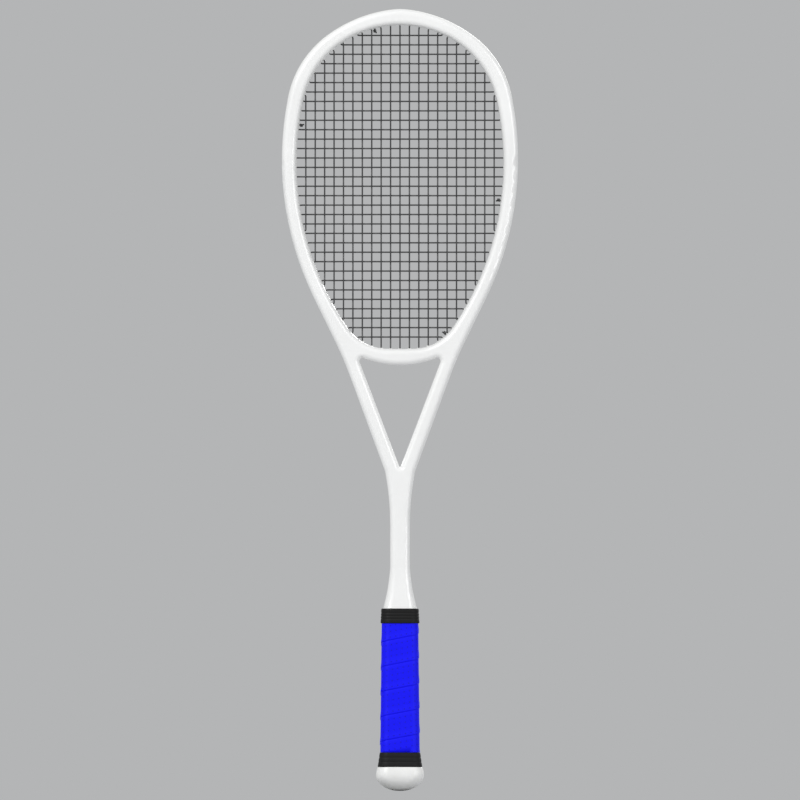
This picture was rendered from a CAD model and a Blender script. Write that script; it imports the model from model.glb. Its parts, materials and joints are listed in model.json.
# %% [markdown]
# # A strung squash racket
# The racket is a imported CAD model: a hollow carbon frame with its bridge, grommets, strings and a
# built-up handle. This script keeps the parts whose shape is already the real one, rebuilds the soft
# and woven ones, and gives every surface the finish it has in the hand.
# Everything is in metres, in the CAD model's own frame: +Z up the shaft, X across the face, Y through
# the strings, with the origin under the butt cap.

# %% Load the frame
import json
import math

import bmesh
import bpy
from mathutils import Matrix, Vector


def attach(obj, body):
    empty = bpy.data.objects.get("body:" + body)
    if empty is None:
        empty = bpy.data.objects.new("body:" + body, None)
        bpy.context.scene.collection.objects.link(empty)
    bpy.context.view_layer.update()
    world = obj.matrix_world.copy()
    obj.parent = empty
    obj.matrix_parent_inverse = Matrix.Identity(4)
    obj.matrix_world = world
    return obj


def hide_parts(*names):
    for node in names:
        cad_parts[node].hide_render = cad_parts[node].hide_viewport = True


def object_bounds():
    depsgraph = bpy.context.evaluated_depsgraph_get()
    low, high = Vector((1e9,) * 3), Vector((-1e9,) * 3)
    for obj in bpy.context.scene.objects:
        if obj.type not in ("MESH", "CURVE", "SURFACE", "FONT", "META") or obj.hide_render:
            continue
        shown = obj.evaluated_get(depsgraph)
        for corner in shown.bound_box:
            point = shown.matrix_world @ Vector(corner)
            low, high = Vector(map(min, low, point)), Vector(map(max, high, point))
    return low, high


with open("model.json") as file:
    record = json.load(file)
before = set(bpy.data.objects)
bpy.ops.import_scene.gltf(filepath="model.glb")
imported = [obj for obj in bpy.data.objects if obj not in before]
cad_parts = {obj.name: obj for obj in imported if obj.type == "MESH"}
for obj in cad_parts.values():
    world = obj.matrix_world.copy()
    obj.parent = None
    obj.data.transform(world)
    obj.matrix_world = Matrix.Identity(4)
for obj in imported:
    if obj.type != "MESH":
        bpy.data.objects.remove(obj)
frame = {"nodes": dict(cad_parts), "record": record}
cad_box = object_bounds()
MM = 0.001
print("CAD nodes:", ", ".join(sorted(frame["nodes"])))
print("CAD box (mm):", [[round(v / MM, 1) for v in corner] for corner in cad_box])

# %% [markdown]
# ## Camera
# The racket is seen square to its face, upright, with no perspective: every part keeps its true
# outline. An orthographic camera does that. Its scale leaves a margin of about one hundredth of the
# racket's length above the head and below the cap.

# %% Camera
MARGIN = 7.9 * MM
CAMERA_REACH = 2.0
racket_foot, racket_head = cad_box[0].z, cad_box[1].z

camera_data = bpy.data.cameras.new("camera")
camera_data.type = "ORTHO"
camera_data.ortho_scale = racket_head - racket_foot + 2 * MARGIN
camera = bpy.data.objects.new("camera", camera_data)
camera.location = (0, -CAMERA_REACH, (racket_head + racket_foot) / 2)
camera.rotation_euler = (math.pi / 2, 0, 0)
bpy.context.scene.collection.objects.link(camera)
bpy.context.scene.camera = camera
print("view height (mm):", round(camera_data.ortho_scale / MM, 1))

# %% [markdown]
# ## Studio
# A soft, plain studio: a pale surround that lights from everywhere, a large key light high on the
# left, a broad fill on the right and a third light behind. All three stand about 5 m off, so the
# light on the floor is even. The standard view transform keeps the wrap's blue pure.

# %% Surround and lights


def linear(hex_colour):
    """A linear RGBA colour from an sRGB hex value such as "#3060A0"."""
    channels = [int(hex_colour[i : i + 2], 16) / 255 for i in (1, 3, 5)]
    return [c / 12.92 if c <= 0.04045 else ((c + 0.055) / 1.055) ** 2.4 for c in channels] + [1.0]


def add(tree, kind, settings=None, inputs=None):
    """Adds one node; settings go to its properties, and values or sockets to its inputs."""
    node = tree.nodes.new(kind)
    for name, value in (settings or {}).items():
        setattr(node, name, value)
    for name, value in (inputs or {}).items():
        if isinstance(value, bpy.types.NodeSocket):
            tree.links.new(value, node.inputs[name])
        else:
            node.inputs[name].default_value = value
    return node


def soft_light(name, place, aim, size, power):
    """A rectangular area light at place that faces aim."""
    data = bpy.data.lights.new(name, "AREA")
    data.shape = "RECTANGLE"
    data.size, data.size_y = size
    data.energy = power
    light = bpy.data.objects.new(name, data)
    light.location = place
    light.rotation_euler = (Vector(aim) - Vector(place)).to_track_quat("-Z", "Y").to_euler()
    bpy.context.scene.collection.objects.link(light)


# Name, place (m), size (m) and power (W)
LIGHTS = [
    ("key", (-3.0, -4.0, 3.5), (2.6, 3.2), 180),
    ("fill", (3.6, -3.8, 1.6), (2.4, 3.0), 65),
    ("back", (2.2, 4.2, 3.0), (1.8, 3.0), 130),
]
for light_name, place, light_size, power in LIGHTS:
    soft_light(light_name, place, (0, 0, camera.location.z), light_size, power)

world = bpy.data.worlds.new("studio_surround")
world.use_nodes = True
world.node_tree.nodes["Background"].inputs["Color"].default_value = linear("#B4B5B6")
world.node_tree.nodes["Background"].inputs["Strength"].default_value = 1.0
bpy.context.scene.world = world
bpy.context.scene.view_settings.view_transform = "Standard"

# %% [markdown]
# ## Finishes
# Each finish starts from what the real surface is. Most of the racket is sprayed or moulded, and one
# function makes all of those: the colour clouds softly between two close shades, and a grain shades
# the roughness and stands up as bump. The string, the wrap and the wire have patterns of their own.
# Pattern sizes are real ones: a noise texture in object space has a scale of one over its wavelength
# in metres.

# %% Finish helpers
# A noise texture lies between these two values nearly everywhere
NOISE_LOW, NOISE_HIGH = 0.3, 0.7
# How far the grain moves the roughness either way
ROUGHNESS_SWING = 0.06
finishes = {}


def new_material(name):
    """A new material and its empty node tree."""
    material = bpy.data.materials.new(name)
    material.use_nodes = True
    material.node_tree.nodes.clear()
    return material, material.node_tree


def grained(name, dark, light, cloud, grain, depth, roughness, **values):
    """A sprayed or moulded surface; cloud and grain are wavelengths, depth the grain's height."""
    material, tree = new_material(name)
    place = add(tree, "ShaderNodeTexCoord")
    clouds = add(tree, "ShaderNodeTexNoise", inputs={
        "Vector": place.outputs["Object"], "Scale": 1 / cloud, "Detail": 3.0})
    share = add(tree, "ShaderNodeMapRange", inputs={
        "Value": clouds.outputs["Fac"], "From Min": NOISE_LOW, "From Max": NOISE_HIGH})
    shades = add(tree, "ShaderNodeMix", {"data_type": "RGBA"}, {
        "Factor": share.outputs["Result"], 6: linear(dark), 7: linear(light)})
    grains = add(tree, "ShaderNodeTexNoise", inputs={
        "Vector": place.outputs["Object"], "Scale": 1 / grain, "Detail": 2.0})
    sheen = add(tree, "ShaderNodeMapRange", inputs={
        "Value": grains.outputs["Fac"], "From Min": NOISE_LOW, "From Max": NOISE_HIGH,
        "To Min": roughness - ROUGHNESS_SWING, "To Max": roughness + ROUGHNESS_SWING})
    bump = add(tree, "ShaderNodeBump", inputs={"Height": grains.outputs["Fac"], "Distance": depth})
    shader = add(tree, "ShaderNodeBsdfPrincipled", inputs={
        "Base Color": linear(light), "Roughness": roughness, "Normal": bump.outputs["Normal"], **values})
    tree.links.new(shades.outputs[2], shader.inputs["Base Color"])
    tree.links.new(sheen.outputs["Result"], shader.inputs["Roughness"])
    add(tree, "ShaderNodeOutputMaterial", inputs={"Surface": shader.outputs["BSDF"]})
    return material


# %% [markdown]
# ### White gloss lacquer over carbon fibre
# The moulded tube is filled, sprayed white and clear-coated. The eye gets a bright even white, a
# sharp clear-coat reflection, and in that reflection the faint ripple that sprayed lacquer dries
# with, known as orange peel. Its ripples are about 2 mm apart.

# %% Lacquer
ORANGE_PEEL = 2.2 * MM

finishes["painted_carbon"] = grained(
    "white_lacquer_sprayed", "#F7F7F6", "#FDFDFC", 60 * MM, ORANGE_PEEL, 0.02 * MM, 0.35,
    **{"IOR": 1.5, "Coat Weight": 1.0, "Coat Roughness": 0.06, "Coat IOR": 1.5})
print("made", finishes["painted_carbon"].name)

# %% [markdown]
# ### Moulded nylon
# The bumper and the grommet strips are one injection-moulded nylon: white, but a shade warmer than
# the lacquer, satin, and with the fine spark-eroded grain of its mould. The grain of the real part is
# about 0.1 mm; it is drawn at 0.4 mm so that it shows.

# %% Nylon
MOULD_GRAIN = 0.4 * MM

finishes["moulded_nylon"] = grained(
    "white_nylon_moulded", "#EEEEEA", "#F6F6F4", 25 * MM, MOULD_GRAIN, 0.03 * MM, 0.45, IOR=1.53)
print("made", finishes["moulded_nylon"].name)

# %% [markdown]
# ### String
# Racket string is a rope of fine nylon filaments under a clear coating. It is dark grey, a little
# glossy, and its filaments lie at a slant, so a slanted wave in the string plane shades and ridges
# both the mains and the crosses. The real lay is about 0.5 mm; it is drawn at 0.9 mm so that it shows.

# %% String finish
FILAMENT_LAY = 0.9 * MM
LAY_ANGLE = math.radians(45)
# Waves in one metre of a wave texture whose scale is 1
WAVES_PER_METRE = 20 / math.tau

string, tree = new_material("grey_string_coated_nylon")
place = add(tree, "ShaderNodeTexCoord")
turned = add(tree, "ShaderNodeVectorRotate", {"rotation_type": "Y_AXIS"}, {
    "Vector": place.outputs["Object"], "Angle": LAY_ANGLE})
lay = add(tree, "ShaderNodeTexWave", inputs={
    "Vector": turned.outputs["Vector"], "Scale": 1 / (FILAMENT_LAY * WAVES_PER_METRE),
    "Distortion": 1.5, "Detail": 2.0})
shades = add(tree, "ShaderNodeMix", {"data_type": "RGBA"}, {
    "Factor": lay.outputs["Fac"], 6: linear("#2B2B2C"), 7: linear("#3A3A3B")})
ridges = add(tree, "ShaderNodeBump", inputs={"Height": lay.outputs["Fac"], "Distance": 0.05 * MM})
shader = add(tree, "ShaderNodeBsdfPrincipled", inputs={
    "Base Color": linear("#333333"), "IOR": 1.53, "Roughness": 0.38, "Coat Weight": 0.35,
    "Coat Roughness": 0.2, "Coat IOR": 1.5, "Normal": ridges.outputs["Normal"]})
tree.links.new(shades.outputs[2], shader.inputs["Base Color"])
add(tree, "ShaderNodeOutputMaterial", inputs={"Surface": shader.outputs["BSDF"]})
finishes["string_nylon"] = string
print("made", string.name, "with a lay of", FILAMENT_LAY / MM, "mm")

# %% [markdown]
# ### Cushion wrap
# The wrap is a strip of soft polyurethane with a leather-like skin: a saturated blue, satin, with a
# fine pebble and rows of small sweat holes. The real pebble is about 0.5 mm; it is drawn at 0.9 mm so
# that it shows. The holes follow the strip, so they are drawn in the strip's own measure, kept on the
# mesh as a UV map in metres: u along it, v across.

# %% Wrap finish
PEBBLE = 0.9 * MM
PEBBLE_SHARE = 0.25
HOLE_SPACING = 5.0 * MM
HOLE_RADIUS = 0.45 * MM
# Where a hole's soft rim starts and ends, as shares of its radius
RIM_START, RIM_END = 0.6, 1.3
SKIN_RELIEF = 0.25 * MM

skin, tree = new_material("blue_polyurethane_skin")
place = add(tree, "ShaderNodeTexCoord")
pebble = add(tree, "ShaderNodeTexVoronoi", {"feature": "SMOOTH_F1"}, {
    "Vector": place.outputs["Object"], "Scale": 1 / PEBBLE, "Smoothness": 0.6})
strip = add(tree, "ShaderNodeUVMap", {"uv_map": "strip"})
cells = add(tree, "ShaderNodeVectorMath", {"operation": "SCALE"}, {
    0: strip.outputs["UV"], "Scale": 1 / HOLE_SPACING})
inside = add(tree, "ShaderNodeVectorMath", {"operation": "FRACTION"}, {0: cells.outputs["Vector"]})
from_hole = add(tree, "ShaderNodeVectorMath", {"operation": "DISTANCE"}, {
    0: inside.outputs["Vector"], 1: (0.5, 0.5, 0.0)})
# 0 in a hole and 1 outside it, with a soft rim
around_hole = add(tree, "ShaderNodeMapRange", {"interpolation_type": "SMOOTHSTEP"}, {
    "Value": from_hole.outputs["Value"], "From Min": RIM_START * HOLE_RADIUS / HOLE_SPACING,
    "From Max": RIM_END * HOLE_RADIUS / HOLE_SPACING})
relief = add(tree, "ShaderNodeMath", {"operation": "MULTIPLY_ADD"}, {
    0: pebble.outputs["Distance"], 1: -PEBBLE_SHARE, 2: around_hole.outputs["Result"]})
bump = add(tree, "ShaderNodeBump", inputs={"Height": relief.outputs["Value"], "Distance": SKIN_RELIEF})
shades = add(tree, "ShaderNodeMix", {"data_type": "RGBA"}, {
    "Factor": around_hole.outputs["Result"], 6: linear("#0000A8"), 7: linear("#0102FD")})
shader = add(tree, "ShaderNodeBsdfPrincipled", inputs={
    "Base Color": linear("#0102FD"), "IOR": 1.5, "Roughness": 0.55, "Specular IOR Level": 0.25,
    "Normal": bump.outputs["Normal"]})
tree.links.new(shades.outputs[2], shader.inputs["Base Color"])
add(tree, "ShaderNodeOutputMaterial", inputs={"Surface": shader.outputs["BSDF"]})
finishes["cushion_wrap"] = skin
print("made", skin.name, "with holes", HOLE_SPACING / MM, "mm apart")

# %% [markdown]
# ### Rubber and cap plastic
# The collar and trim ring are black moulded rubber, matte. The cap is a white moulded plastic with a
# soft sheen and a wide, very shallow grain.

# %% Rubber and cap plastic
RUBBER_GRAIN = 0.7 * MM
CAP_GRAIN = 0.8 * MM

finishes["black_rubber"] = grained(
    "black_rubber_moulded", "#050505", "#0B0B0B", 20 * MM, RUBBER_GRAIN, 0.05 * MM, 0.6,
    **{"IOR": 1.52, "Specular IOR Level": 0.3})
finishes["cap_plastic"] = grained(
    "white_cap_moulded", "#F2F2EF", "#F9F9F7", 20 * MM, CAP_GRAIN, 0.02 * MM, 0.33, IOR=1.5)
print("made", finishes["black_rubber"].name, finishes["cap_plastic"].name)

# %% [markdown]
# ### What lies inside
# Inside the handle are cream polyurethane foam with its cut cells, black woven cloth tape whose
# threads are about 0.5 mm apart, and zinc-plated staple wire with the streaks of its drawing die.
# They hardly show, but each still gets its own finish.

# %% Foam, tape and wire
FOAM_CELL = 0.6 * MM
TAPE_THREAD = 0.5 * MM
WIRE_STREAK = 0.3 * MM

finishes["foam_core"] = grained(
    "cream_foam_cast", "#D8C79E", "#E6D8B4", 20 * MM, FOAM_CELL, 0.2 * MM, 0.85, IOR=1.5)
finishes["cloth_tape"] = grained(
    "black_cloth_tape_woven", "#0C0C0C", "#181818", 20 * MM, TAPE_THREAD, 0.1 * MM, 0.8, IOR=1.5)

wire, tree = new_material("zinc_plated_wire")
place = add(tree, "ShaderNodeTexCoord")
streaks = add(tree, "ShaderNodeTexNoise", inputs={
    "Vector": place.outputs["Object"], "Scale": 1 / WIRE_STREAK, "Detail": 4.0})
sheen = add(tree, "ShaderNodeMapRange", inputs={
    "Value": streaks.outputs["Fac"], "From Min": NOISE_LOW, "From Max": NOISE_HIGH,
    "To Min": 0.25, "To Max": 0.5})
shader = add(tree, "ShaderNodeBsdfPrincipled", inputs={
    "Base Color": linear("#B9BCC0"), "Metallic": 1.0, "Roughness": 0.35})
tree.links.new(sheen.outputs["Result"], shader.inputs["Roughness"])
add(tree, "ShaderNodeOutputMaterial", inputs={"Surface": shader.outputs["BSDF"]})
finishes["staple_steel"] = wire
print("made", finishes["foam_core"].name, finishes["cloth_tape"].name, wire.name)

# %% [markdown]
# ### Finishes on the CAD nodes
# Every node's record says which material it is made of. The nodes that are made again further down
# get their finish there too.

# %% Finishes on the CAD nodes
slot_of = {part["node"]: part["material_slot"] for part in frame["record"]["subparts"]}
for name, node in frame["nodes"].items():
    node.data.materials.clear()
    node.data.materials.append(finishes[slot_of[name]])
print("finishes:", len(finishes), "on", len(slot_of), "nodes")

# %% [markdown]
# ## The hoop's two outlines
# The strings leave the face square to the hoop's inner edge, and run round in a groove under its
# outer edge. Both edges are chains of tangent arcs, the same as in the CAD model. A chain is walked
# clockwise from the top of the head, so a place on it is found by its heading. An arc is given as
# its radius in mm and the degrees that it turns through, and a straight run as its length.

# %% Outlines
RIM_TOP = 671.8 * MM
RIM_ARCS = [(93.0, 21.1), (83.7, 56.7), (256.0, 46.5), (42.9, 53.1)]
HEAD_TOP = 686.0 * MM
HEAD_ARCS = [(55.0, 6.5), (119.6, 30.8), (88.0, 41.1), (277.0, 37.6)]
SHOULDER_RUN = 44.8 * MM
ARM_CURVE = (292.0, -5.8)
ARM_RUN = 88.5 * MM


def outward(turned):
    """Unit vector across an outline that has turned by this many degrees from +X."""
    return Vector((math.sin(math.radians(turned)), math.cos(math.radians(turned))))


def walk(top, steps):
    """Pieces of an outline: (start, heading, end, heading, centre, signed radius)."""
    place, turned, pieces = Vector((0, top)), 0.0, []
    for step in steps:
        start, before = place, turned
        if isinstance(step, tuple):
            reach = math.copysign(step[0] * MM, step[1])
            centre = place - outward(turned) * reach
            turned += step[1]
            place = centre + outward(turned) * reach
        else:
            reach, centre = 0.0, None
            across = outward(turned)
            place = place + Vector((across.y, -across.x)) * step
        pieces.append((start, before, place, turned, centre, reach))
    return pieces


rim = walk(RIM_TOP, RIM_ARCS)
closing = 180 - rim[-1][3]
rim = walk(RIM_TOP, RIM_ARCS + [(rim[-1][2].x / math.sin(math.radians(closing)) / MM, closing)])
outline = walk(HEAD_TOP, HEAD_ARCS + [SHOULDER_RUN, ARM_CURVE, ARM_RUN])
print("rim foot (mm):", round(rim[-1][2].y / MM, 1), "widest (mm):", round(2 * rim[2][0].x / MM, 1))

# %% [markdown]
# ### Places on the outlines
# A string's hole starts at a point on the rim and ends at a depth below the head's outer surface, so
# one function finds the first and another measures the second.

# %% Places on the outlines
# Degrees by which a heading may miss the end of its arc
ROUNDING = 0.01


def rim_point(heading, out=0.0):
    """Where the inner edge, grown by out, has this heading."""
    for start, before, end, after, centre, reach in rim:
        if before <= heading <= after:
            return centre + outward(heading) * (reach + out)
    raise ValueError(heading)


def under_surface(point):
    """Depth of a point on the right half below the outer surface, and the way out."""
    found = None
    for start, before, end, after, centre, reach in outline:
        if centre is None:
            run = end - start
            inside = 0 <= (point - start).dot(run) <= run.dot(run)
            depth, way = (start - point).dot(outward(before)), outward(before)
        else:
            spoke = (point - centre) * math.copysign(1, reach)
            heading = math.degrees(math.atan2(spoke.x, spoke.y))
            heading += 360 if heading < -ROUNDING else 0
            inside = min(before, after) - ROUNDING <= heading <= max(before, after) + ROUNDING
            depth, way = reach - math.copysign(spoke.length, reach), spoke.normalized()
        if inside and (found is None or abs(depth) < abs(found[0])):
            found = (depth, way)
    return found


def bisect(error, low, high):
    """The value between low and high where a steadily changing error crosses nought."""
    rising = error(high) > error(low)
    for _ in range(50):
        centre = (low + high) / 2
        if (error(centre) > 0) == rising:
            high = centre
        else:
            low = centre
    return (low + high) / 2


rim_side = rim_point(90)
print("hoop's width at its side (mm):", round(under_surface(rim_side)[0] / MM, 1))

# %% [markdown]
# ## String ports
# A port is where one string leaves the face: its mouth just inside the hoop, and its exit in the
# groove under the outer surface. Mains are 21 and crosses 33, each set evenly spaced. The seven
# middle mains, and one more on the left, leave straight down through the bridge; every other string
# leaves square to the rim. Each string's two ends are tied off at holes of their own.

# %% Ports
MAIN_PITCH = 8.262 * MM
CROSS_PITCH = 8.268 * MM
TOP_CROSS = 662.8 * MM
MAIN_REACH = 10
CROSSES = 33
MOUTH_INSET = 1.3 * MM
GROOVE_LANE = 1.1 * MM
BRIDGE_MAINS = range(-4, 4)
BRIDGE_FOOT = 373.4 * MM
BRIDGE_FOOT_RADIUS = 84.0 * MM
LAST_BRIDGE_EXIT = -30.3 * MM
# Shortest and longest that a hole through the hoop can be
HOLE_LENGTHS = (8 * MM, 32 * MM)
# Rows of the crosses, halves between two rows, beside which each string's two ends are tied
MAIN_TIE_ROWS = (9.5, 17.5)
CROSS_TIE_ROWS = (-0.75, 31.75)


def port(heading, side):
    """(mouth, exit) of a hole drilled square to the rim on the left (-1) or right (1)."""
    mouth, way = rim_point(heading, -MOUTH_INSET), outward(heading)
    reach = bisect(lambda run: under_surface(mouth + way * run)[0] - GROOVE_LANE, *HOLE_LENGTHS)
    exit_place = mouth + way * reach
    return Vector((mouth.x * side, mouth.y)), Vector((exit_place.x * side, exit_place.y))


def main_port(index, top):
    """Port of a main string, counted from the middle one."""
    reach, side = abs(index) * MAIN_PITCH, -1 if index < 0 else 1
    low, high = (0, 90) if top else (90, 180)
    heading = bisect(lambda turn: rim_point(turn, -MOUTH_INSET).x - reach, low, high)
    if top or index not in BRIDGE_MAINS:
        return port(heading, side)
    exit_x = max(side * reach, LAST_BRIDGE_EXIT)
    drop = math.sqrt((BRIDGE_FOOT_RADIUS - GROOVE_LANE) ** 2 - exit_x**2)
    exit_place = Vector((exit_x, BRIDGE_FOOT + BRIDGE_FOOT_RADIUS - drop))
    return Vector((side * reach, rim_point(heading, -MOUTH_INSET).y)), exit_place


def height_port(height, side, inset=MOUTH_INSET):
    """Port at the height where the rim, drawn in by inset, passes it."""
    return port(bisect(lambda turn: rim_point(turn, -inset).y - height, 0, 180), side)


def row_height(row):
    """Height of a row of the crosses, or of a place between two rows."""
    return TOP_CROSS - row * CROSS_PITCH


mains = [(main_port(i, True), main_port(i, False)) for i in range(-MAIN_REACH, MAIN_REACH + 1)]
crosses = [(height_port(row_height(j), -1), height_port(row_height(j), 1)) for j in range(CROSSES)]
main_ties = [height_port(row_height(row), side, 0) for row, side in zip(MAIN_TIE_ROWS, (-1, 1))]
cross_ties = [height_port(row_height(row), side, 0) for row, side in zip(CROSS_TIE_ROWS, (-1, 1))]
print("ports:", 2 * len(mains) + 2 * len(crosses) + len(main_ties) + len(cross_ties))

# %% [markdown]
# ## Weaving the strings
# Each set is one long string, so each is one smooth curve. The two sets pass over and under each
# other in turn. A quadratic NURBS line runs at half the height of control points that alternate up
# and down, so the control points stand at twice the height the string needs, which is half its
# diameter. Near the hoop the mains always pass in front, as the two rows of grommets make them.
# At a tight corner three control points close together hold the bend to about a string's diameter.
# A tied end is a short coil, drawn up against its grommet.

# %% Control points
STRING_RADIUS = 0.65 * MM
LANE = 0.8 * MM
# Leaves a hair between two strings that cross
WEAVE_ROOM = 1.02
WEAVE = 2 * WEAVE_ROOM * STRING_RADIUS
SETTLE = 5.0 * MM
KNUCKLE = 1.8 * MM
MOUTH_CLEARANCE = 2.5 * MM
TIGHT_TURN = math.radians(12)
GROOVE_STEP = 9.0 * MM
KNOT_TURNS = 2
KNOT_RADIUS = 0.95 * MM
KNOT_LENGTH = 2.2 * MM
KNOT_TAIL = 1.2 * MM
KNOT_POINTS = 7


def deep(place, y):
    """A flat (x, z) place at depth y."""
    return Vector((place.x, y, place.y))


def corner(before, place, after):
    """Three control points that turn tightly at a place."""
    return [place + (before - place).normalized() * KNUCKLE, place,
            place + (after - place).normalized() * KNUCKLE]


def along_groove(start, end, y):
    """Control points in the groove from one exit to the next, both included."""
    side = -1 if start.x + end.x < 0 else 1
    if max(start.y, end.y) < row_height(CROSSES) and abs(end.x) < abs(LAST_BRIDGE_EXIT) + MAIN_PITCH:
        return [deep(start, y), deep(end, y)]
    count = math.ceil((end - start).length / GROOVE_STEP)
    places = []
    for step in range(count + 1):
        flat = start.lerp(end, step / count)
        depth, way = under_surface(Vector((flat.x * side, flat.y)))
        shift = way * (depth - GROOVE_LANE)
        places.append(deep(flat + Vector((shift.x * side, shift.y)), y))
    return places


def along_path(stops):
    """Control points of a way through stops, which turns tightly wherever it bends sharply."""
    points = []
    for before, place, after in zip(stops, stops[1:], stops[2:]):
        turn = (place - before).angle(after - place)
        points += corner(before, place, after) if turn > TIGHT_TURN else [place]
    return points


def knot(tie, y):
    """Coil of a tied end, from its tail to its grommet."""
    mouth, exit_place = (deep(place, y) for place in tie)
    way = (mouth - exit_place).normalized()
    up = Vector((0, 1, 0))
    side = way.cross(up)
    count = KNOT_TURNS * KNOT_POINTS
    coil = []
    for step in range(count + 1):
        angle = math.tau * step / KNOT_POINTS
        lift = way * KNOT_LENGTH * (1 - step / count)
        coil.append(mouth + lift + (side * math.cos(angle) + up * math.sin(angle)) * KNOT_RADIUS)
    return [coil[0] + way * KNOT_TAIL] + coil + [mouth]


def string_points(runs, ties, y, crossings):
    """Control points of one whole string; crossings gives those between two mouths."""
    first, last = ties
    points = knot(first, y)
    tail, here = deep(first[0], y), first[1]
    for number, (entry, leave) in enumerate(runs):
        mouth_in, mouth_out = deep(entry[0], y), deep(leave[0], y)
        weave = crossings(number, entry[0], leave[0])
        points += along_path([tail] + along_groove(here, entry[1], y) + [mouth_in, weave[0]]) + weave
        points += corner(weave[-1], mouth_out, deep(leave[1], y))
        tail, here = mouth_out, leave[1]
    points += along_path([tail] + along_groove(here, last[1], y) + [deep(last[0], y)])
    return points + knot(last, y)[::-1]


# %% [markdown]
# ### Where the strings cross
# Neighbouring crossings take opposite sides, as a stringer weaves them.

# %% Crossings


def main_side(index, row):
    """Which side a main passes a cross on: -1 in front, 1 behind."""
    x, z = index * MAIN_PITCH, row_height(row)
    top, foot = mains[index + MAIN_REACH]
    left, right = crosses[row]
    to_hoop = min(top[0].y - z, z - foot[0].y, x - left[0].x, right[0].x - x)
    return -1 if to_hoop < SETTLE or (index + row) % 2 == 0 else 1


def main_crossings(number, entry, leave):
    """Control points of one main where it meets the crosses."""
    index = number - MAIN_REACH
    low, high = sorted((entry.y, leave.y))
    rows = [row for row in range(CROSSES)
            if low + MOUTH_CLEARANCE < row_height(row) < high - MOUTH_CLEARANCE]
    if entry.y < leave.y:
        rows.reverse()
    return [Vector((index * MAIN_PITCH, WEAVE * main_side(index, row), row_height(row))) for row in rows]


def cross_crossings(row, entry, leave):
    """Control points of one cross where it meets the mains."""
    low, high = sorted((entry.x, leave.x))
    indices = [index for index in range(-MAIN_REACH, MAIN_REACH + 1)
               if low + MOUTH_CLEARANCE < index * MAIN_PITCH < high - MOUTH_CLEARANCE]
    if entry.x > leave.x:
        indices.reverse()
    return [Vector((index * MAIN_PITCH, -WEAVE * main_side(index, row), row_height(row)))
            for index in indices]


def lace(name, points, node):
    """One string as a round NURBS curve that stands for its CAD node."""
    curve = bpy.data.curves.new(name, "CURVE")
    curve.dimensions = "3D"
    curve.bevel_depth = STRING_RADIUS
    curve.bevel_resolution = 3
    curve.use_fill_caps = True
    spline = curve.splines.new("NURBS")
    spline.points.add(len(points) - 1)
    for point, place in zip(spline.points, points):
        point.co = (*place, 1.0)
    spline.order_u = 3
    spline.use_endpoint_u = True
    spline.resolution_u = 5
    curve.materials.append(finishes["string_nylon"])
    piece = bpy.data.objects.new(name, curve)
    bpy.context.scene.collection.objects.link(piece)
    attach(piece, "root")
    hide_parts(node)
    print(name, len(points), "control points")


main_runs = [ends if n % 2 == 0 else ends[::-1] for n, ends in enumerate(mains)]
cross_runs = [ends if n % 2 == 0 else ends[::-1] for n, ends in enumerate(crosses)]
lace("mains_woven", string_points(main_runs, main_ties, -LANE, main_crossings), "main_string")
lace("crosses_woven", string_points(cross_runs, cross_ties, LANE, cross_crossings), "cross_string")

# %% [markdown]
# ## Rings of the handle
# The handle is a rounded rectangle that tapers towards the head. The cap, trim ring, collar and wrap
# are all made from rings of that shape, one above the other, so one function finds a point on such a
# ring and another skins a closed stack of them.

# %% Ring helpers
GRIP_FOOT, GRIP_TOP = 33.8 * MM, 147.1 * MM
FOOT_HALF = (17.3 * MM, 14.9 * MM)
TOP_HALF = (16.1 * MM, 13.8 * MM)
GRIP_ROUND = 7.5 * MM
RING_POINTS = 96


def ring_point(share, half_x, half_y, corner_radius):
    """Point at a share of the way round a rounded rectangle, from the middle of its right side."""
    flat_x, flat_y = half_x - corner_radius, half_y - corner_radius
    bend = math.pi / 2 * corner_radius
    quarter, local = divmod(share * 4 % 4, 1)
    run = (1 - local if quarter % 2 else local) * (flat_x + flat_y + bend)
    if run < flat_y:
        x, y = half_x, run
    elif run < flat_y + bend:
        angle = (run - flat_y) / corner_radius
        x, y = flat_x + corner_radius * math.cos(angle), flat_y + corner_radius * math.sin(angle)
    else:
        x, y = flat_x - (run - flat_y - bend), half_y
    return (x if quarter in (0, 3) else -x), (y if quarter < 2 else -y)


def grip_section(z, grow):
    """Half sizes and corner radius of the finished handle at a height, grown all round."""
    share = (z - GRIP_FOOT) / (GRIP_TOP - GRIP_FOOT)
    half_x = FOOT_HALF[0] + share * (TOP_HALF[0] - FOOT_HALF[0]) + grow
    half_y = FOOT_HALF[1] + share * (TOP_HALF[1] - FOOT_HALF[1]) + grow
    return half_x, half_y, GRIP_ROUND + grow


def finish_piece(bm, name, slot, node, subdivisions=0):
    """Turns a bmesh into a smooth piece that stands for a CAD node."""
    bmesh.ops.recalc_face_normals(bm, faces=bm.faces)
    mesh = bpy.data.meshes.new(name)
    bm.to_mesh(mesh)
    bm.free()
    mesh.shade_smooth()
    mesh.materials.append(finishes[slot])
    piece = bpy.data.objects.new(name, mesh)
    bpy.context.scene.collection.objects.link(piece)
    if subdivisions:
        modifier = piece.modifiers.new("smooth", "SUBSURF")
        modifier.levels = modifier.render_levels = subdivisions
    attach(piece, "root")
    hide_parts(node)
    print(name, len(mesh.vertices), "vertices")
    return piece


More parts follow.
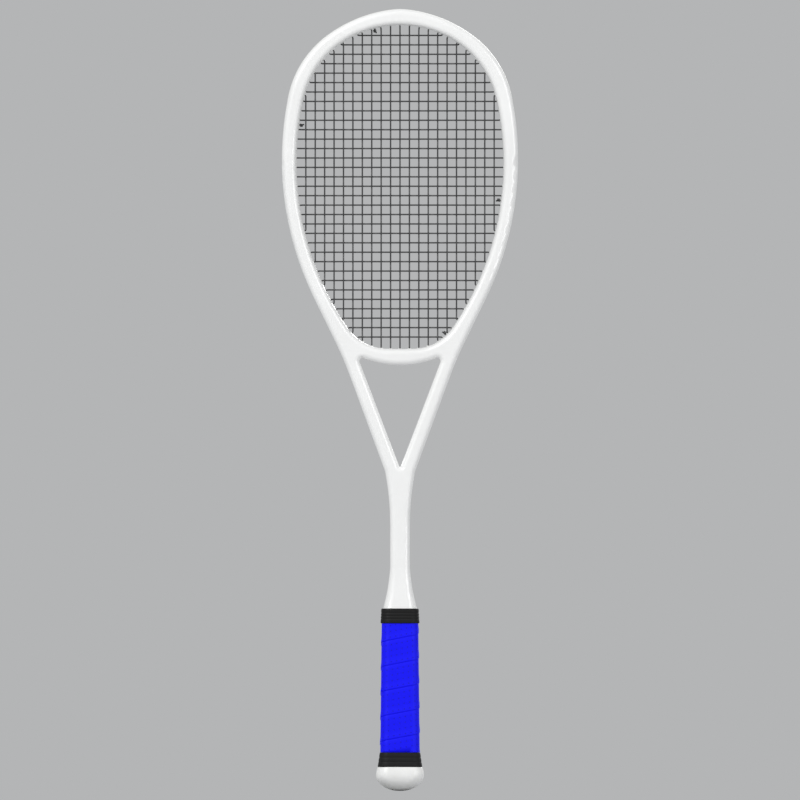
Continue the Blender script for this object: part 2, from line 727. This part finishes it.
def skin_rings(sections, closed):
    """A bmesh through (z, half_x, half_y, corner) rings; closed joins the last to the first."""
    bm = bmesh.new()
    rings = []
    for z, half_x, half_y, corner_radius in sections:
        ring = [bm.verts.new((*ring_point(k / RING_POINTS, half_x, half_y, corner_radius), z))
                for k in range(RING_POINTS)]
        rings.append(ring)
    pairs = list(zip(rings, rings[1:])) + ([(rings[-1], rings[0])] if closed else [])
    for lower, upper in pairs:
        for k in range(RING_POINTS):
            after = (k + 1) % RING_POINTS
            bm.faces.new((lower[k], lower[after], upper[after], upper[k]))
    if not closed:
        bm.faces.new(rings[0])
        bm.faces.new(rings[-1])
    return bm


# %% [markdown]
# ## Cushion wrap
# The wrap is one strip, 25 mm wide, wound up the handle in a spiral. Each turn lies about 3 mm over
# the one below, and shows as a soft raised edge. A sleeve with painted lines would look flat from the
# side, so this is the strip itself: a cross-section carried round the handle, thinner at the edge
# that gets covered. It is cut off level at the trim ring and under the collar, and the collar presses
# its raised edge flat.

# %% Wrap the handle
STRIP_WIDTH = 25.0 * MM
OVERLAP = 3.2 * MM
PITCH = STRIP_WIDTH - OVERLAP
STEPS_PER_TURN = 120
WRAP_END = 156.0 * MM
# The handle's girth as a share of that of the square-cornered box round it
GIRTH_SHARE = 0.9
# (share of the width, height above the wrap's nominal surface in mm), from the covering edge up
STRIP_TOP = [(0.0, -0.1), (0.002, 0.12), (0.006, 0.26), (0.014, 0.36), (0.035, 0.4), (0.08, 0.34),
             (0.14, 0.18), (0.2, 0.06), (0.28, 0.0), (0.5, 0.0), (0.72, 0.0), (0.84, -0.06),
             (0.872, -0.25), (0.94, -0.8), (1.0, -1.4)]
# ... and back along its underside, which rides up on the thin edge of the turn below
STRIP_UNDERSIDE = [(1.0, -1.75), (0.5, -1.75), (0.15, -1.75), (0.128, -1.37), (0.068, -0.77), (0.0, -0.22)]


def wrapped_strip():
    """The wound strip as a closed solid, with its own measure kept as a UV map."""
    bm = bmesh.new()
    measure = bm.loops.layers.uv.new("strip")
    profile = STRIP_TOP + STRIP_UNDERSIDE
    turns = (WRAP_END - GRIP_FOOT + STRIP_WIDTH) / PITCH
    around = 4 * (FOOT_HALF[0] + FOOT_HALF[1]) * GIRTH_SHARE
    rows, where = [], {}
    for step in range(math.ceil(turns * STEPS_PER_TURN) + 1):
        turn = step / STEPS_PER_TURN
        row = []
        for share, height in profile:
            z = GRIP_FOOT - STRIP_WIDTH + PITCH * turn + STRIP_WIDTH * share
            lift = min(height, 0.0) if z > GRIP_TOP else height
            x, y = ring_point(turn, *grip_section(z, lift * MM))
            vertex = bm.verts.new((x, y, z))
            where[vertex] = (turn * around, share * STRIP_WIDTH)
            row.append(vertex)
        rows.append(row)
    for before, after in zip(rows, rows[1:]):
        for k in range(len(profile)):
            following = (k + 1) % len(profile)
            bm.faces.new((before[k], before[following], after[following], after[k]))
    bm.faces.new(rows[0])
    bm.faces.new(rows[-1])
    for face in bm.faces:
        for loop in face.loops:
            loop[measure].uv = where[loop.vert]
    for height, way in ((GRIP_FOOT, 1), (WRAP_END, -1)):
        everything = bm.verts[:] + bm.edges[:] + bm.faces[:]
        bmesh.ops.bisect_plane(bm, geom=everything, plane_co=(0, 0, height), plane_no=(0, 0, way),
                               clear_inner=True)
        bmesh.ops.holes_fill(bm, edges=[edge for edge in bm.edges if edge.is_boundary])
    return bm


wrap = finish_piece(wrapped_strip(), "cushion_wrap", "cushion_wrap", "grip_wrap")

# %% [markdown]
# ## Collar and trim ring
# Both are moulded rubber. The collar is a stretchy sleeve with a rolled lip at each end and three
# shallow grooves; the trim ring flares out to meet the cap, with two. Each is a closed profile
# carried round the handle.

# %% Collar and ring
# Where a groove's flank turns, as shares of its half width and of its depth
FLANK_WIDTH, FLANK_DEPTH = 0.6, 0.25
# Walls in mm, as in the profiles
COLLAR_WALL, RING_WALL = 0.95, 1.9


def sleeve(foot, top, profile):
    """Rings of a sleeve between two sections: profile is (share of the height, grow in mm)."""
    sections = []
    for share, grow in profile:
        sizes = [a + (b - a) * share for a, b in zip(foot, top)]
        sections.append((sizes[0], *(size + grow * MM for size in sizes[1:])))
    return skin_rings(sections, closed=True)


def grooved(places, width, depth):
    """Profile points of shallow grooves: places and half width in shares, depth in mm."""
    points = []
    for place in places:
        points += [(place - width, 0.0), (place - width * FLANK_WIDTH, -depth * FLANK_DEPTH),
                   (place, -depth), (place + width * FLANK_WIDTH, -depth * FLANK_DEPTH),
                   (place + width, 0.0)]
    return points


collar_foot = (GRIP_TOP, 17.1 * MM, 14.8 * MM, 8.5 * MM)
collar_top = (160.1 * MM, 16.4 * MM, 14.2 * MM, 8.5 * MM)
collar_profile = ([(0.0, -COLLAR_WALL), (0.0, -0.35), (0.02, -0.1), (0.06, 0.0), (0.12, 0.02)]
                  + grooved((0.3, 0.5, 0.7), 0.07, 0.3)
                  + [(0.88, 0.02), (0.94, -0.02), (0.985, -0.2), (1.0, -0.5), (1.0, -COLLAR_WALL),
                     (0.5, -COLLAR_WALL)])
finish_piece(sleeve(collar_foot, collar_top, collar_profile), "collar_rubber", "black_rubber",
             "grip_collar", subdivisions=1)

ring_foot = (21.0 * MM, 19.6 * MM, 16.6 * MM, 9.5 * MM)
ring_top = (GRIP_FOOT, 17.8 * MM, 15.4 * MM, 7.9 * MM)
ring_profile = ([(0.0, -RING_WALL), (0.0, -0.3), (0.02, -0.08), (0.06, 0.0)]
                + grooved((0.35, 0.65), 0.08, 0.3)
                + [(0.9, 0.0), (0.96, -0.06), (0.99, -0.2), (1.0, -0.4), (1.0, -RING_WALL),
                   (0.5, -RING_WALL)])
finish_piece(sleeve(ring_foot, ring_top, ring_profile), "trim_ring_rubber", "black_rubber",
             "butt_ring", subdivisions=1)

# %% [markdown]
# ## Butt cap
# The cap is a hollow moulding: a smooth dome outside, and a thin skirt that goes up inside the wrap.
# Its outline is a quarter ellipse under the widest line. The rings turn from the handle's rounded
# rectangle into an ellipse as they close on the pole.

# %% Butt cap
CAP_TOP = 21.0 * MM
CAP_WIDEST = 14.0 * MM
CAP_HALF = (21.1 * MM, 17.9 * MM)
CAP_TOP_HALF = (19.8 * MM, 16.8 * MM)
SKIRT_TOP = 46.0 * MM
WRAP_THICKNESS = 1.8 * MM
SKIRT_WALL = 1.5 * MM
CAP_WALL = 2.2 * MM
DOME_STEPS = 14
# Corner radius as a share of a ring's half depth, at the pole and at the widest line
POLE_ROUNDNESS, BODY_ROUNDNESS = 0.98, 0.62
# How far up the dome its inside follows it, as a share of the way to the widest line
HOLLOW_SHARE = 0.8
# The rounded top edge, as (drop, inset) in mm, and the places between it and the widest line
TOP_EDGE = [(0.0, 0.9), (0.0, 0.45), (0.12, 0.12), (0.45, 0.0)]
SIDE_SHARES = (0.3, 0.6, 0.85)
LEDGE_STEP = 0.1 * MM


def dome_section(angle, wall):
    """Ring of the dome at an angle up from its pole, drawn in by a wall."""
    spread_out = math.sin(angle)
    half_x, half_y = (CAP_HALF[0] - wall) * spread_out, (CAP_HALF[1] - wall) * spread_out
    z = CAP_WIDEST - (CAP_WIDEST - wall) * math.cos(angle)
    roundness = POLE_ROUNDNESS + (BODY_ROUNDNESS - POLE_ROUNDNESS) * spread_out**3
    return z, half_x, half_y, half_y * roundness


def cap_rings():
    """Rings of the cap, up its inside from the pole and down its outside."""
    angles = [math.pi / 2 * step / DOME_STEPS for step in range(1, DOME_STEPS + 1)]
    inside = [dome_section(angle, CAP_WALL) for angle in angles if angle < HOLLOW_SHARE * math.pi / 2]
    skirt_in, skirt_out = -WRAP_THICKNESS - SKIRT_WALL, -WRAP_THICKNESS
    inside += [(z, *grip_section(z, skirt_in)) for z in (CAP_WIDEST, CAP_TOP, SKIRT_TOP)]
    outside = [(z, *grip_section(z, skirt_out)) for z in (SKIRT_TOP, CAP_TOP + LEDGE_STEP)]
    top_x, top_y = CAP_TOP_HALF
    for drop, inset in TOP_EDGE:
        outside.append((CAP_TOP - drop * MM, top_x - inset * MM, top_y - inset * MM,
                        top_y * BODY_ROUNDNESS))
    for share in SIDE_SHARES:
        rise = math.sin(share * math.pi / 2)
        outside.append((CAP_TOP + (CAP_WIDEST - CAP_TOP) * share, top_x + (CAP_HALF[0] - top_x) * rise,
                        top_y + (CAP_HALF[1] - top_y) * rise, CAP_HALF[1] * BODY_ROUNDNESS))
    outside += [dome_section(angle, 0.0) for angle in reversed(angles)]
    return inside + outside


finish_piece(skin_rings(cap_rings(), closed=False), "butt_cap_moulded", "cap_plastic", "butt_cap",
             subdivisions=1)

# %% [markdown]
# ## Floor
# A plain pale floor under the cap. It is a wide disc with a slightly mottled matte finish, and isn't
# part of the racket.

# %% Floor
FLOOR_RADIUS = 6.0
FLOOR_GAP = 0.2 * MM
FLOOR_GRAIN = 3.0 * MM

floor_mesh = bpy.data.meshes.new("floor")
floor_bm = bmesh.new()
bmesh.ops.create_circle(floor_bm, cap_ends=True, radius=FLOOR_RADIUS, segments=96)
floor_bm.to_mesh(floor_mesh)
floor_bm.free()
floor = bpy.data.objects.new("floor", floor_mesh)
floor.location.z = cad_box[0].z - FLOOR_GAP
floor_mesh.materials.append(
    grained("pale_floor_matte", "#B0B1B2", "#B3B4B5", 20 * MM, FLOOR_GRAIN, 0.02 * MM, 0.7, IOR=1.45))
bpy.context.scene.collection.objects.link(floor)
